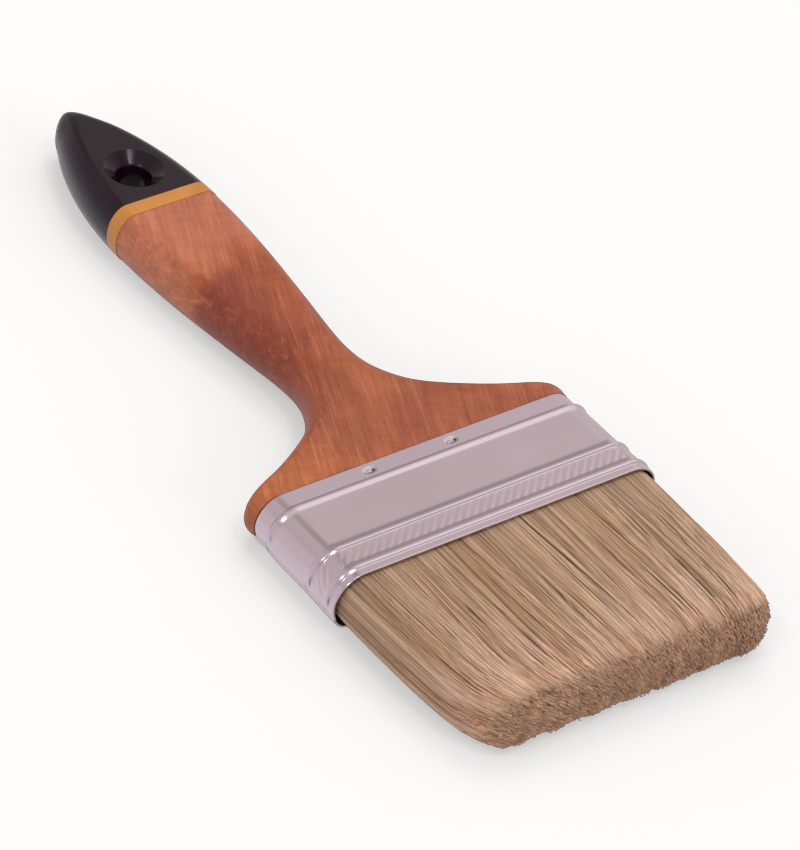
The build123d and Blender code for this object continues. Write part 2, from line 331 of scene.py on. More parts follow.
def lacquer_material(name, colour, rough, specular):
    """Dipped lacquer with a faint orange peel and a few dust specks."""
    mat = Material(name)
    peel = mat.noise(mat.pos(), scale=900.0)
    broad = mat.noise(mat.pos(y=0.6), scale=130.0)
    tone = mat.ramp(broad, [(0.3, scaled(colour, 0.88)), (0.7, scaled(colour, 1.12))])
    dust = mat.spots(mat.pos(), scale=240.0, rim=0.045, core=0.02, channel=1, above=0.93)
    tone = mat.cover(tone, (0.5, 0.45, 0.42), dust, strength=0.18)
    height = mat.add(mat.mul(peel, 0.25), mat.mul(broad, 1.0))
    return mat.set(Base_Color=tone, Specular_IOR_Level=specular,
                   Roughness=mat.ease(peel, start=0.3, end=0.7,
                                      low=rough - 0.04, high=rough + 0.05),
                   Coat_Weight=0.0, Coat_Roughness=0.10,
                   Normal=mat.bump(height, strength=0.10, distance=0.00010))


def steel_material(name, colour, rough, dent_shade=()):
    """Plated steel. The last argument: ovals of painted shade in mm (x, y, half width, half height,
    strength).
    """
    mat = Material(name)
    cloud = mat.noise(mat.pos(), scale=40.0, warp=0.2)
    fine = mat.noise(mat.pos(x=0.25), scale=1400.0, rough=0.55)
    tone = mat.ramp(cloud, [(0.3, scaled(colour, 0.97)), (0.7, scaled(colour, 1.02))])
    # a few small dull stains
    stains = mat.spots(mat.pos(x=0.7, y=1.3, turn=0.5), scale=75.0,
                       rim=0.09, core=0.03, channel=0, above=0.86)
    tone = mat.cover(tone, scaled(colour, 0.55), stains, strength=0.22)
    if dent_shade:
        x, y = mat.xyz()[:2]
    # painted shade: each listed oval is darkened into the plating
    for centre_x, centre_y, half_x, half_y, strength in dent_shade:
        dx = mat.math("DIVIDE", mat.sub(x, centre_x * MM), half_x * MM)
        dy = mat.math("DIVIDE", mat.sub(y, centre_y * MM), half_y * MM)
        near = mat.ease(mat.add(mat.mul(dx, dx), mat.mul(dy, dy)), start=1.0, end=0.15)
        tone = mat.cover(tone, (0.05, 0.04, 0.045), near, strength)
    roughness = mat.add(mat.ease(cloud, start=0.3, end=0.7, low=rough - 0.03, high=rough + 0.04),
                        mat.mul(stains, 0.12))
    height = mat.add(mat.mul(cloud, 1.0), mat.mul(fine, 0.06))
    return mat.set(Base_Color=tone, Metallic=1.0, Roughness=roughness,
                   Normal=mat.bump(height, strength=0.06, distance=0.0002))


def resin_material():
    mat = Material("cured_epoxy")
    cloud = mat.noise(mat.pos(), scale=160.0, detail=3.0)
    base = mat.ramp(cloud, [(0.3, srgb(150, 100, 48)), (0.7, srgb(190, 140, 78))])
    return mat.set(Base_Color=base, Roughness=0.3, Coat_Weight=0.4,
                   Normal=mat.bump(cloud, strength=0.2, distance=0.0004))


def bristle_material():
    """Filament colour from the mesh, with fine streaks along Y."""
    mat = Material("natural_bristle")
    colour = mat.node("Attribute", attribute_name="hair_col").outputs["Color"]
    streak = mat.noise(mat.pos(y=0.12), scale=1900.0)
    colour = mat.modulate(colour, streak, strength=0.35,
                          stops=[(0.35, 0.86), (0.5, 1.0), (0.68, 1.12)])
    return mat.set(Base_Color=colour, Specular_IOR_Level=0.3,
                   Roughness=mat.ease(streak, start=0.3, end=0.7, low=0.46, high=0.62),
                   Normal=mat.bump(streak, strength=0.15, distance=0.00005))


WOOD = wood_material()
BLACK = lacquer_material("black_lacquer", (0.0088, 0.0022, 0.0048), rough=0.17, specular=0.28)
OCHRE = lacquer_material("ochre_lacquer", srgb(189, 128, 58), rough=0.42, specular=0.35)
# painted shade in each nail's dent: a dark spot right of the nail and a band on the bristle side of
# it
NAIL_DENT_SHADE = [(x + 1.20, MOUTH + NAIL_H + 0.05, 0.62, 0.50, 0.85) for x in NAIL_XS]
NAIL_DENT_SHADE += [(x + 0.25, MOUTH + NAIL_H - 0.62, 1.45, 0.34, 0.55) for x in NAIL_XS]
STEEL = steel_material("plated_steel", (0.60, 0.51, 0.53), rough=0.22, dent_shade=NAIL_DENT_SHADE)
NAIL = steel_material("nail_steel", (0.62, 0.57, 0.60), rough=0.22)
HAIR = bristle_material()

paint(nodes["handle"], WOOD)
paint(nodes["handle_tip_lacquer"], BLACK)
paint(nodes["handle_ring_lacquer"], OCHRE)
paint(nodes["spacer_plug"], raw_wood_material())
paint(nodes["epoxy_setting"], resin_material())


# ------------------------------------------------------------------ ferrule
SHEET = 0.35                              # thickness of the strip
OUTLINE_STEPS = 600
RIB_PITCH = 2.64                          # nearly; a whole number goes round
DENT_HALF_W, DENT_HALF_H = 2.05, 1.12     # dents round the nails


def strip_profile():
    """Height above the mouth, offset from the panel, and offset with the beads pressed flat."""
    milled = np.arange(5.4, 9.55, 0.26)
    collar = np.arange(30.2, 34.1, 0.30)
    height, offset = np.vstack([
        # rim at the mouth
        [(0.30, 0.20), (0.33, 0.33), (0.42, 0.42), (0.7, 0.45), (1.2, 0.46), (1.7, 0.45),
         (2.15, 0.45)],
        # lip bead: steep toward the mouth, easy toward the handle
        [(2.3, 0.47), (2.42, 0.52), (2.54, 0.59), (2.66, 0.67), (2.78, 0.74), (2.92, 0.80),
         (3.15, 0.87), (3.4, 0.91), (3.7, 0.90), (4.0, 0.83), (4.4, 0.68), (4.8, 0.50),
         (5.15, 0.36)],
        np.c_[milled, 0.30 - 0.01 * (milled - 5.4)],
        # second bead
        [(9.64, 0.28), (9.84, 0.29), (10.04, 0.31), (10.2, 0.35), (10.32, 0.42),
         (10.44, 0.50), (10.56, 0.58), (10.7, 0.655), (10.9, 0.71), (11.15, 0.74),
         (11.4, 0.72), (11.7, 0.62), (12.0, 0.48), (12.35, 0.31), (12.7, 0.16),
         (13.1, 0.06), (13.6, 0.01)],
        # middle panel
        [(14.2, 0.0), (16.5, 0.0), (19.0, 0.0), (21.5, 0.0), (24.0, 0.0), (26.0, 0.0),
         (26.6, 0.0)],
        # third bead, falling to the sunk collar
        [(26.9, 0.03), (27.15, 0.09), (27.4, 0.18), (27.65, 0.28), (27.9, 0.36),
         (28.15, 0.41), (28.4, 0.43), (28.65, 0.39), (28.85, 0.29), (29.02, 0.13),
         (29.18, -0.06), (29.34, -0.24), (29.52, -0.38), (29.72, -0.46), (29.95, -0.49)],
        np.c_[collar, np.full(len(collar), -0.5)],
        # edge at the wood
        [(34.3, -0.5), (34.54, -0.51), (34.66, -0.56), (34.7, -0.66)],
    ]).T
    flat = np.interp(
        height, [0.30, 0.33, 0.42, 2.15, 4.5, 9.6, 13.5, 26.5, 30.2, 34.5, 34.66, 34.7],
        [0.20, 0.33, 0.42, 0.45, 0.40, 0.22, 0.02, 0.0, -0.5, -0.51, -0.56, -0.66])
    return height, offset, flat


def strip_outline():
    """Stations round the panel, clockwise seen from the bristles' side, from the front's left.

    Gives the perimeter, then for each station the distance along it, the point and
    outward direction (x, z), the degrees turned from +Z, and whether it is on the left end.
    """
    straight = 2 * CAP_X
    end_len = math.pi * HALF_T
    perimeter = 2 * straight + 2 * end_len
    count = OUTLINE_STEPS
    along = np.arange(count) * perimeter / count
    base_x, base_z, out_x, out_z, turn = (np.zeros(count) for _ in range(5))
    left = np.zeros(count, bool)
    for i, s in enumerate(along):
        if s < straight:
            base_x[i], base_z[i], out_x[i], out_z[i] = -CAP_X + s, HALF_T, 0, 1
        elif s < straight + end_len:
            angle = (s - straight) / HALF_T
            out_x[i], out_z[i] = math.sin(angle), math.cos(angle)
            base_x[i], base_z[i] = CAP_X + HALF_T * out_x[i], HALF_T * out_z[i]
            turn[i] = math.degrees(angle)
        elif s < 2 * straight + end_len:
            back = s - straight - end_len
            base_x[i], base_z[i], out_x[i], out_z[i] = CAP_X - back, -HALF_T, 0, -1
            turn[i] = 180
        else:
            angle = (s - 2 * straight - end_len) / HALF_T
            out_x[i], out_z[i] = -math.sin(angle), -math.cos(angle)
            base_x[i], base_z[i] = -CAP_X + HALF_T * out_x[i], HALF_T * out_z[i]
            turn[i] = 180 - math.degrees(angle)
            left[i] = True
    return perimeter, along, base_x, base_z, out_x, out_z, turn, left


def milled_ribs(around, height, perimeter):
    """Band of ribs slanted at 45 degrees, with a row of nicks above it."""
    count = round(perimeter / RIB_PITCH)
    phase = (around - height) * count / perimeter
    wave = np.abs(((phase + 0.5) % 1.0) - 0.5) * 2          # 0 on a rib's crest
    rib = 1 - smooth(0.10, 0.95, wave)
    band = smooth(4.6, 5.6, height) * (1 - smooth(9.2, 9.7, height))
    nicks = np.exp(-((height - 9.86) / 0.20) ** 2)
    return ((0.085 * rib - 0.03) * band * (1.0 - 0.35 * smooth(5.5, 8.5, height))
            + 0.05 * (1 - smooth(0.15, 0.7, wave)) * nicks)


def nail_dents(height, base_x, out_z):
    """Depth of the oval dents round the nails, on both faces."""
    depth = np.zeros_like(height)
    for nail_x in NAIL_XS:
        for face in (1, -1):
            on_face = out_z[None, :] * face > 0.99
            dx = (np.repeat(base_x[None, :], len(height), 0) - nail_x) / DENT_HALF_W
            dh = (height - NAIL_H - 0.12 * face * dx) / DENT_HALF_H
            inside = 1 - np.clip(dx**2 + dh**2, 0, 1)
            depth += on_face * (0.49 + 0.10 * dx) * inside**0.8
    return depth


def build_ferrule():
    heights, offset, flat = strip_profile()
    perimeter, along, base_x, base_z, out_x, out_z, turn, left = strip_outline()
    around, height = np.meshgrid(along, heights)            # rows x columns
    # the beads fade out round the narrow sides
    fade_left = smooth(78, 118, turn) * (1 - smooth(146, 168, turn))
    fade_right = smooth(62, 88, turn) * (1 - smooth(96, 122, turn))
    fade = 0.85 * np.where(left, fade_left, fade_right)[None, :]
    beads = offset[:, None] * (1 - fade) + flat[:, None] * fade
    # the ribs stand out more on the front half of the left end
    left_bend = np.where(left, smooth(6, 28, turn) * (1 - smooth(84, 112, turn)), 0.0)[None, :]
    ribs = milled_ribs(around, height, perimeter) * (1 - 0.35 * fade) * (1 + 1.4 * left_bend)
    # soft waves of a hand-made strip
    soft = 0.012 * np.sin(around * 0.11 + 1.3) * np.sin(height * 0.21 + 0.4)
    soft = soft * smooth(12.4, 15.0, height) * (1 - smooth(25.0, 27.5, height))
    rim = 0.02 * np.sin(around * 0.55 + 0.7) * (1 - smooth(0.6, 1.8, height))
    # lap seam on the left end: a step at 117 degrees that runs out toward the back
    lap = np.where(left & (turn > 117.0), 1 - smooth(144, 154, turn), 0.0)[None, :] * 0.30
    outer = beads + (ribs + soft + rim + lap) - nail_dents(height, base_x, out_z)
    inner = outer - SHEET
    # round over both rims of the sheet
    inner[0] += 0.16
    inner[-1] += 0.14
    # the inside needs fewer rows, except at the rims and the nails
    rows = len(heights)
    near_nail = np.where((heights > NAIL_H - 1.8) & (heights < NAIL_H + 1.8))[0]
    keep = np.unique(np.r_[0:6, 6:rows:3, rows - 4:rows, near_nail])

    def skin(offsets, levels):
        x = base_x[None, :] + out_x[None, :] * offsets
        z = base_z[None, :] + out_z[None, :] * offsets
        return np.stack([x, MOUTH + levels, MID_Z + z], -1).reshape(-1, 3)

    verts = np.vstack([skin(outer, height), skin(inner[keep], height[keep])])
    steps = OUTLINE_STEPS
    out = np.arange(rows * steps).reshape(rows, steps)
    ins = np.arange(len(keep) * steps).reshape(len(keep), steps) + rows * steps
    out_next, ins_next = np.roll(out, -1, 1), np.roll(ins, -1, 1)
    quads = [
        np.stack([out[:-1], out_next[:-1], out_next[1:], out[1:]], -1).reshape(-1, 4),
        np.stack([ins[:-1], ins[1:], ins_next[1:], ins_next[:-1]], -1).reshape(-1, 4),
        np.stack([out[0], ins[0], ins_next[0], out_next[0]], -1),
        np.stack([out[-1], out_next[-1], ins_next[-1], ins[-1]], -1),
    ]
    ob = mesh_object("ferrule_strip", verts, np.vstack(quads))
    paint(ob, STEEL)
    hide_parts("ferrule")
    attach(ob, "brush")


build_ferrule()

# Nail: (radius, height above the seat), from the top of the dome to the point
NAIL_PROFILE = [(0.0, 0.30), (0.35, 0.285), (0.65, 0.24), (0.86, 0.16), (0.96, 0.04),
                (0.97, -0.08), (0.90, -0.16), (0.58, -0.18), (0.55, -0.6), (0.55, -3.6),
                (0.30, -4.4), (0.0, -4.9)]
NAIL_SIDES = 28
NAIL_TILT = math.radians(9)               # about Y
NAIL_SEAT = HALF_T - 0.5 - 0.46           # height of the seat above the mid plane
NAIL_SHIFT = -0.12                        # head's centre from the dent's, along X


def place_nail_point(x, y, z, nail_x, face):
    if z > -0.2:                # the head is hammered oval
        x, y = 1.12 * x - 0.10 * y, 0.66 * y + 0.12 * x
    y, z = y + 0.20 * z, z - 0.20 * y
    # tip about Y: the side toward +X sinks
    cos, sin = math.cos(NAIL_TILT), math.sin(NAIL_TILT)
    x, z = x * cos + z * sin, -x * sin + z * cos
    # a back nail is the front one turned over about the X axis
    return (nail_x + NAIL_SHIFT + x, MOUTH + NAIL_H + face * y, MID_Z + face * (NAIL_SEAT + z))


def build_nails():
    """Domed heads on short shanks, seated in the strip's dents on both faces."""
    verts, quads, tris = [], [], []
    for nail_x in NAIL_XS:
        for face in (1, -1):
            rings = []
            for radius, z in NAIL_PROFILE:
                ring = []
                for i in range(NAIL_SIDES if radius else 1):
                    angle = 2 * math.pi * i / NAIL_SIDES
                    ring.append(len(verts))
                    verts.append(place_nail_point(radius * math.cos(angle),
                                                  radius * math.sin(angle), z, nail_x, face))
                rings.append(ring)
            for upper, lower in zip(rings[:-1], rings[1:]):
                for i in range(NAIL_SIDES):
                    j = (i + 1) % NAIL_SIDES
                    if len(upper) == 1:
                        tris.append((upper[0], lower[i], lower[j]))
                    elif len(lower) == 1:
                        tris.append((upper[i], lower[0], upper[j]))
                    else:
                        quads.append((upper[i], lower[i], lower[j], upper[j]))
    ob = mesh_object("nail_heads", verts, quads, tris)
    paint(ob, NAIL)
    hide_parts("ferrule_nails")
    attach(ob, "brush")


build_nails()

# ----------------------------------------------------------------- bristles
# A filament's place: across runs -1..1 over the width, thick 0..1 from the mid
# plane to the surface, and down is the distance below the mouth.
LENGTH = 55.0                             # nominal free length
ROOT_HALF_W = 49.0
ROOT_HALF_T = 7.25                        # also the radius of the round ends
ROOT_CAP_X = ROOT_HALF_W - ROOT_HALF_T
# (down, half width to the left, half width to the right)
WIDTH_DOWN, WIDTH_LEFT, WIDTH_RIGHT = np.array([
    (-20, 48.9, 49.0), (0, 48.9, 49.0), (12, 48.9, 48.5), (25, 48.4, 47.8), (36, 47.7, 47.0),
    (44, 46.4, 46.3), (49, 44.4, 45.6), (53, 41.8, 44.5), (56, 39.6, 43.3), (60, 37.5, 42.0)]).T
# (down, half thickness)
THICK_DOWN, THICK_HALF = np.array([
    (-20, 7.25), (0, 7.25), (10, 7.45), (30, 7.6), (42, 7.75), (48, 7.65), (52, 7.3),
    (56, 6.8), (60, 6.2)]).T
# Long gaps between tufts on the front: (x at the mouth, x at the nominal length,
# start and end down the tuft, width)
LONG_GAPS = [(5.8, 8.4, -8.0, 49.0, 0.80), (13.9, 13.2, -8.0, 30.0, 0.55),
             (23.6, 26.6, -8.0, 27.0, 0.48), (-0.4, 1.6, -6.0, 28.0, 0.5),
             (-17.0, -19.0, 2.0, 44.0, 0.62), (33.5, 36.0, -6.0, 32.0, 0.5),
             (-30.5, -34.5, 4.0, 48.0, 0.66), (41.0, 42.0, -6.0, 34.0, 0.5),
             (-42.5, -45.0, 0.0, 36.0, 0.55)]
SHORT_GAPS = 52
# Stations down a filament; the negative ones are held inside the ferrule
FINE = (-14.6, -8.0, -2.0, 2.5, 7.5, 12.5, 17.5, 22.5, 28.0, 33.5, 39.5, 45.5, 51.0, 55.0)
COARSE = (-14.6, -8.0, -1.0, 8.0, 18.0, 29.0, 40.0, 49.0, 55.0)
# Layers of filaments: (depth below the surface, pitch round it)
OUTER = ((0.08, 0.215), (0.28, 0.22), (0.52, 0.24), (0.82, 0.27))
CORE = ((1.20, 0.34), (1.75, 0.44), (2.5, 0.55))
TIP_COUNT = 5400
TUBE_SIDES = 3

PALE = np.array(srgb(236, 208, 178))
TAN = np.array(srgb(216, 180, 144))
BROWN = np.array(srgb(194, 149, 110))
DARK = np.array(srgb(150, 106, 72))


def half_width(across, down):
    return np.where(across < 0, np.interp(down, WIDTH_DOWN, WIDTH_LEFT),
                    np.interp(down, WIDTH_DOWN, WIDTH_RIGHT))


def half_thickness(down):
    return np.interp(down, THICK_DOWN, THICK_HALF)


def mouth_shape(across):
    """Share of the half thickness at the mouth, less over the round ends."""
    over = np.clip((np.abs(across) * ROOT_HALF_W - ROOT_CAP_X) / ROOT_HALF_T, 0, 0.9999)
    return np.sqrt(1 - over**2)


def end_shape(across):
    """The same at the cut end, still round at the two narrow sides."""
    tip = 1 - 0.50 * np.clip((np.abs(across) - 0.84) / 0.16, 0, 1) ** 2.2
    return np.minimum(tip, 1.03 * mouth_shape(across) + 0.04)


def trimmed_length(across, thick, side):
    """Where the cut end lies: domed through the thickness, rounded at both corners."""
    length = 55.2 + 0.7 * across
    length = length - (3.2 if side > 0 else 1.9) * np.abs(thick) ** 3.0
    length = (length - 4.0 * np.clip((across - 0.86) / 0.14, 0, 1) ** 2.0
              - 3.2 * np.clip((-across - 0.90) / 0.10, 0, 1) ** 2.2)
    # a tuft and a notch near the left corner
    length = (length + 0.7 * np.exp(-((across + 0.93) / 0.035) ** 2)
              - 0.5 * np.exp(-((across + 0.84) / 0.04) ** 2))
    return length + 0.32 * np.sin(across * 23.0 + 1.1) + 0.25 * np.sin(across * 47.0 + thick * 3.0)


def tubes(name, paths, radii, colours, phase):
    """Closed blunt tubes: n x k x 3 paths, n x k radii, n x k x 3 linear colours, n phases."""
    n, k, _ = paths.shape
    sides = TUBE_SIDES
    direction = np.gradient(paths, axis=1)
    direction /= np.linalg.norm(direction, axis=2, keepdims=True) + 1e-12
    axis1 = np.zeros_like(direction)
    axis1[..., 0] = 1
    axis1 -= (axis1 * direction).sum(2, keepdims=True) * direction
    axis1 /= np.linalg.norm(axis1, axis=2, keepdims=True)
    axis2 = np.cross(direction, axis1)
    angle = phase[:, None, None] + np.arange(sides)[None, None, :] * 2 * np.pi / sides
    ring = (paths[:, :, None, :]
            + radii[:, :, None, None] * (np.cos(angle)[..., None] * axis1[:, :, None, :]
                                         + np.sin(angle)[..., None] * axis2[:, :, None, :]))
    # each tube: its rings, then the points that close the root and the tip
    root, tip = k * sides, k * sides + 1
    per = k * sides + 2
    verts = np.zeros((n, per, 3))
    verts[:, :root] = ring.reshape(n, root, 3)
    verts[:, root] = paths[:, 0] - direction[:, 0] * radii[:, 0, None] * 0.3
    verts[:, tip] = paths[:, -1] + direction[:, -1] * radii[:, -1, None] * 0.4
    colour = np.ones((n, per, 4), np.float32)
    colour[:, :root, :3] = np.repeat(colours, sides, axis=1)
    colour[:, root, :3] = colours[:, 0]
    colour[:, tip, :3] = colours[:, -1]
    grid = np.arange(root).reshape(k, sides)
    turned = np.roll(grid, -1, 1)
    wall = np.stack([grid[:-1], turned[:-1], turned[1:], grid[1:]], -1).reshape(-1, 4)
    caps = np.vstack([np.stack([np.full(sides, root), turned[0], grid[0]], -1),
                      np.stack([np.full(sides, tip), grid[-1], turned[-1]], -1)])
    base = (np.arange(n) * per)[:, None, None]
    ob = mesh_object(name, verts.reshape(-1, 3), (wall[None] + base).reshape(-1, 4),
                     (caps[None] + base).reshape(-1, 3))
    attribute = ob.data.attributes.new("hair_col", "FLOAT_COLOR", "POINT")
    attribute.data.foreach_set("color", colour.reshape(-1))
    paint(ob, HAIR)
    return ob


def filament_colours(rng, n, warmth=0.0):
    """Mostly tan, some pale, some brown, a few dark; warmth shifts toward dark."""
    pick = np.clip(rng.random(n) + warmth, 0, 1)[:, None]
    colour = np.where(pick < 0.34, PALE,
                      np.where(pick < 0.74, TAN, np.where(pick < 0.95, BROWN, DARK)))
    blend = rng.random(n)[:, None]
    colour = colour * (0.5 + 0.4 * blend) + TAN * (0.5 - 0.4 * blend)
    return colour * (0.93 + 0.14 * rng.random(n)[:, None])


def tuft_gaps(side, rng):
    """Narrow lens-shaped gaps: the long ones, then short ones at random."""
    gaps = list(LONG_GAPS)
    if side < 0:
        gaps = [(-x0 + 2.2, -x1 + 1.4, *rest) for x0, x1, *rest in gaps]
    for _ in range(SHORT_GAPS):
        x = rng.uniform(-47.5, 47.5)
        start = rng.uniform(-4, 36)
        gaps.append((x, x + rng.normal(0, 2.2), start, start + rng.uniform(11, 24),
                     rng.uniform(0.25, 0.58)))
    return gaps


def gap_at(gap, down):
    """Centre and width of a gap at a distance down the tuft."""
    x0, x1, start, end, width = gap
    x = x0 + (x1 - x0) * down / LENGTH
    centre = x / ROOT_HALF_W * half_width(x0 / ROOT_HALF_W, down)
    t = np.clip((down - start) / (end - start), 0, 1)
    return centre, width * np.sin(math.pi * t) ** 0.55


def layer_roots(rng, depth, pitch):
    """Points round half of the bundle's outline at the mouth, this deep below it."""
    radius = ROOT_HALF_T - depth
    quarter = math.pi * radius / 2
    total = 2 * ROOT_CAP_X + math.pi * radius
    count = int(total / pitch)
    along = (np.arange(count) + rng.uniform(-0.45, 0.45, count)) * total / count
    x, z = np.zeros(count), np.zeros(count)
    left = along < quarter
    right = along > quarter + 2 * ROOT_CAP_X
    mid = ~(left | right)
    angle = along[left] / radius
    x[left], z[left] = -ROOT_CAP_X - radius * np.cos(angle), radius * np.sin(angle)
    x[mid], z[mid] = -ROOT_CAP_X + along[mid] - quarter, radius
    angle = (along[right] - 2 * ROOT_CAP_X - quarter) / radius
    x[right], z[right] = ROOT_CAP_X + radius * np.sin(angle), radius * np.cos(angle)
    return x, np.clip(z + rng.uniform(-0.10, 0.10, count), 0.03, None)


def lean_field(rng, x, amount):
    """Slow change of slant along the width, from waves of (length, height)."""
    lean = np.zeros_like(x)
    for wavelength, height in ((31.0, 0.55), (17.0, 0.5), (9.5, 0.42), (5.6, 0.30)):
        lean += amount * height * np.sin(x * 6.283 / (wavelength * rng.uniform(0.85, 1.15))
                                         + rng.uniform(0, 6.28))
    return lean


def all_roots(rng, layers, deep):
    """x, z, depth and lean of every filament; deep adds a grid inside the bundle."""
    parts = []
    for depth, pitch in layers:
        x, z = layer_roots(rng, depth, pitch)
        lean = lean_field(rng, x, 1.0 if depth < 1.2 else 0.6)
        parts.append((x, z, np.full(len(x), depth), lean))
    if deep:
        x, z = np.meshgrid(np.arange(-47.5, 47.6, 0.70), np.arange(0.25, ROOT_HALF_T - 2.9, 0.85))
        x = x.ravel() + rng.uniform(-0.3, 0.3, x.size)
        z = np.clip(z.ravel() + rng.uniform(-0.35, 0.35, z.size), 0.05, None)
        round_end = np.sqrt(np.clip((ROOT_HALF_T - 0.6) ** 2 - z**2, 0, None))
        inside = np.abs(x) < ROOT_CAP_X + round_end
        x, z = x[inside], z[inside]
        parts.append((x, z, np.full(len(x), 3.0), lean_field(rng, x, 0.5)))
    return [np.concatenate(column) for column in zip(*parts)]


def join_tufts(rng, root_x, root_z):
    """Centre x, extra length and warmth of the tuft each filament is nearest to."""
    x, z = np.meshgrid(np.arange(-49, 49.1, 2.1), np.arange(0.6, 7.6, 2.3))
    centres = np.c_[x.ravel(), z.ravel()] + rng.uniform(-0.8, 0.8, (x.size, 2))
    own = np.empty(len(root_x), int)
    for i in range(0, len(root_x), 512):                    # in blocks, to save memory
        block = slice(i, i + 512)
        own[block] = ((root_x[block, None] - centres[None, :, 0]) ** 2
                      + (root_z[block, None] - centres[None, :, 1]) ** 2).argmin(1)
    extra = rng.normal(0, 0.35, len(centres))
    warmth = rng.normal(0, 0.14, len(centres))
    return centres[own, 0], extra[own], warmth[own]


def grow_hair(name, side, seed, layers, stations, radius, deep=False):
    """One set of filaments of the front (side 1) or back (side -1) half of the tuft."""
    rng = np.random.default_rng(seed)
    gap_rng = np.random.default_rng(77 if side > 0 else 78)
    gaps = tuft_gaps(side, gap_rng)
    root_x, root_z, depth, lean = all_roots(rng, layers, deep)
    n = len(root_x)
    across = np.clip(root_x / ROOT_HALF_W, -1, 1)
    thick = np.clip(root_z / (ROOT_HALF_T * mouth_shape(across)), 0, 1)
    tuft_x, tuft_extra, tuft_warmth = join_tufts(gap_rng, root_x, root_z)
    # beside a long gap the filaments run along it
    follow = np.zeros(n)
    swing = np.zeros(n)
    for gap in gaps[:len(LONG_GAPS)]:
        near = np.exp(-(np.abs(root_x - gap[0]) / 1.9) ** 3)
        swing = np.where(near > follow, gap[1] - gap[0], swing)
        follow = np.maximum(follow, near)
    inland = 1 - smooth(36.5, 41.0, np.abs(root_x))
    follow = follow * inland
    free = 1 - 0.92 * follow
    # lengths, a few of them short
    length = (trimmed_length(across, thick, side) + np.clip(rng.normal(0, 0.34, n), -0.8, 0.35)
              - (rng.random(n) < 0.07) * rng.uniform(1, 5, n) + tuft_extra)
    share = (np.array(stations) / LENGTH)[None, :]
    down = np.where(share > 0, share * length[:, None], share * LENGTH)
    part = down / length[:, None]
    grown = np.clip(down / LENGTH, 0, 1)
    x = across[:, None] * half_width(across[:, None], down)
    shape = mouth_shape(across)[:, None] * (1 - grown) + end_shape(across)[:, None] * grown
    z = thick[:, None] * half_thickness(down) * shape
    # filaments of one tuft draw together
    tuft_across = (tuft_x / ROOT_HALF_W)[:, None]
    tuft_line = tuft_across * half_width(tuft_across, down)
    loose = free * smooth(0.985, 0.90, np.abs(across)) * rng.uniform(0.4, 1.2, n)
    x = x + (tuft_line - x) * (0.20 * grown**1.3 * loose[:, None])
    # lean; filaments at the sides stay in line, a few others go astray
    inner = smooth(0.99, 0.90, np.abs(across))
    wild = rng.random(n) < 0.03
    own_lean = np.where(wild, rng.normal(0, 2.6, n),
                        rng.normal(0, 1.0, n) * np.where(depth < 0.2, 0.80, 0.50))
    x = (x + ((lean + own_lean) * (0.10 + 0.90 * inner) * free)[:, None] * grown**1.2
         + (swing * follow)[:, None] * grown)
    # waviness, sideways and through the thickness
    height, wavelength, phase = (rng.uniform(0.08, 0.34, n), rng.uniform(20, 42, n),
                                 rng.uniform(0, 6.28, n))
    wave = np.sin(down * 6.28 / wavelength[:, None] + phase[:, None]) - np.sin(phase)[:, None]
    x = x + (height * (0.15 + 0.85 * inner) * (1 - 0.85 * follow))[:, None] * wave * np.sqrt(grown)
    height, phase = rng.uniform(0.04, 0.20, n), rng.uniform(0, 6.28, n)
    z = z + (height[:, None] * np.sin(down * 8.2 / wavelength[:, None] + phase[:, None])
             * np.sqrt(grown))
    z = z + (wild * rng.uniform(0, 0.35, n))[:, None] * grown**2
    x = x + rng.normal(0, 0.16, n)[:, None] * smooth(0.8, 1.0, part)
    # open the gaps near the surface, and note how much painted shade each filament gets from them
    opened = 1 - smooth(0.75, 1.6, depth)
    dark = np.zeros_like(x)
    top = smooth(0.30, 0.65, thick) * (0.25 + 0.75 * inland)
    for gap in gaps:
        centre, width = gap_at(gap, down)
        dx = x - centre
        near = np.exp(-(dx / 0.85) ** 2)
        x = x + np.tanh(dx / 0.12) * 0.5 * width * near * (opened * top)[:, None]
        dark = np.maximum(dark, near * width / 0.6)
    # no filament leaves the round-ended outline of the tuft
    high = np.clip((z - 0.12) / half_thickness(down), 0, 1)
    reach = (ROOT_CAP_X + ROOT_HALF_T * np.sqrt(1 - high**2)) / ROOT_HALF_W
    slack = rng.uniform(-0.05, 0.22, n)[:, None]
    x = np.clip(x, -np.interp(down, WIDTH_DOWN, WIDTH_LEFT) * reach - slack,
                np.interp(down, WIDTH_DOWN, WIDTH_RIGHT) * reach + slack)
    # held ends: inside the strip, clear of the spacer
    room = ROOT_HALF_T * mouth_shape(across) * 0.97
    low = 2.75 * (1 - smooth(43.6, 44.4, np.abs(root_x)))
    held = smooth(-5.0, -8.5, down)
    z = z * (1 - held) + (low + thick * np.clip(room - low, 0, None))[:, None] * held
    z = np.clip(z, 0.02, None)
    paths = np.stack([x, MOUTH - down, MID_Z + side * z], -1)
    radii = rng.uniform(*radius, n)[:, None] * np.interp(part, [-1, 0, 0.8, 1.0],
                                                         [1, 1, 0.92, 0.76])
    # painted shade: darker with depth, toward the root under the ferrule's lip, and deep in the
    # gaps
    colour = filament_colours(rng, n, tuft_warmth)
    colour = colour * np.interp(depth, [0.0, 0.35, 0.7, 1.1, 2.0],
                                [0.99, 0.97, 0.90, 0.76, 0.60])[:, None]
    # toward the root the ferrule's lip shades the filaments: painted shade
    tone = np.interp(part, [-1, 0.0, 0.10, 0.5, 0.85, 0.97, 1.0],
                     [0.70, 0.72, 0.79, 0.83, 0.98, 1.01, 0.90])
    colour = colour[:, None, :] * tone[..., None]
    shadow = np.clip(dark, 0, 1) * smooth(0.4, 0.9, depth)[:, None] * top[:, None]
    colour = colour * (1 - 0.62 * shadow)[..., None]
